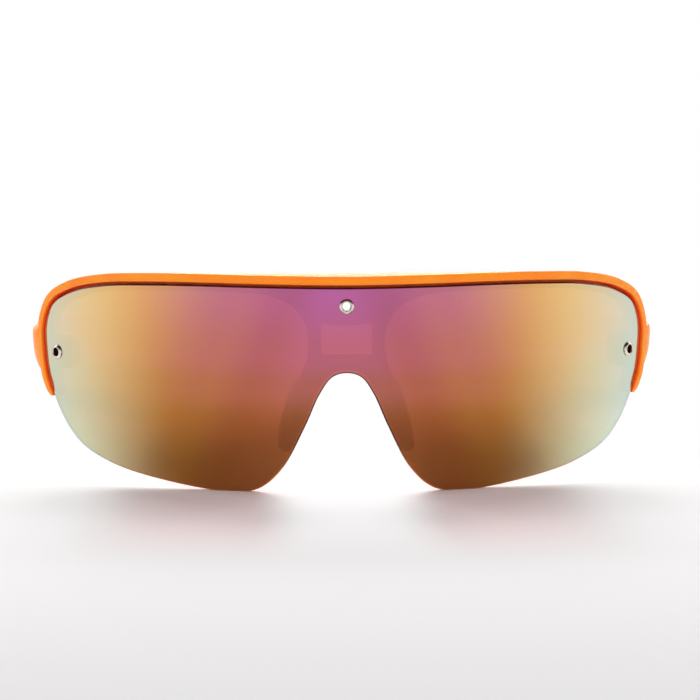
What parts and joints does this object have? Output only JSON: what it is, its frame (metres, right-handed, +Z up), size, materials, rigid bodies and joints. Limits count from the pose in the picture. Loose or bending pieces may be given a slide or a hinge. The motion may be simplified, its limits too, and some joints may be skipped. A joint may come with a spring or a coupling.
{
  "type": "wraparound sunglasses",
  "caption": "Wraparound sunglasses: a curved mirrored shield lens riveted into an orange half-rim front, with rubber nose pads and folding temples on screwed hinges.",
  "frame": {"origin": "centre of the bounding box at floor level, with the glasses standing open", "axes": "+Z up, +Y from the lens back along the temples, +X towards the wearer's left, so the lens faces -Y"},
  "size_m": [0.1496, 0.1656, 0.0506],
  "materials": {
    "orange_nylon": "satin moulded nylon, saturated orange",
    "mirrored_lens": "polished polycarbonate with a warm mirror coating, purple at the top centre and gold at the sides",
    "bright_steel": "bright steel, lightly worn",
    "soft_rubber": "soft matt rubber"
  },
  "bodies": {
    "front": {"frame_front": "orange_nylon", "lens": "mirrored_lens", "eyelet_centre": "bright_steel", "eyelet_left": "bright_steel", "eyelet_right": "bright_steel", "eyelet_washer_centre": "bright_steel", "eyelet_washer_left": "bright_steel", "eyelet_washer_right": "bright_steel", "nose_pad_left": "soft_rubber", "nose_pad_right": "soft_rubber", "frame_leaf_left": "bright_steel", "frame_leaf_right": "bright_steel", "hinge_screw_left": "bright_steel", "hinge_screw_right": "bright_steel", "frame_leaf_screw_upper_left": "bright_steel", "frame_leaf_screw_upper_right": "bright_steel", "frame_leaf_screw_lower_left": "bright_steel", "frame_leaf_screw_lower_right": "bright_steel"},
    "temple_left": {"temple_left": "orange_nylon", "temple_leaf_left": "bright_steel", "temple_leaf_screw_upper_left": "bright_steel", "temple_leaf_screw_lower_left": "bright_steel"},
    "temple_right": {"temple_right": "orange_nylon", "temple_leaf_right": "bright_steel", "temple_leaf_screw_upper_right": "bright_steel", "temple_leaf_screw_lower_right": "bright_steel"}
  },
  "joints": [
    {"name": "left_temple_fold", "type": "hinge", "parent": "front", "child": "temple_left", "pos_m": [0.06824, -0.03664, 0.03066], "axis": [0, 0, 1], "range_deg": [0, 94]},
    {"name": "right_temple_fold", "type": "hinge", "parent": "front", "child": "temple_right", "pos_m": [-0.06824, -0.03664, 0.03066], "axis": [0, 0, -1], "range_deg": [0, 86]}
  ]
}
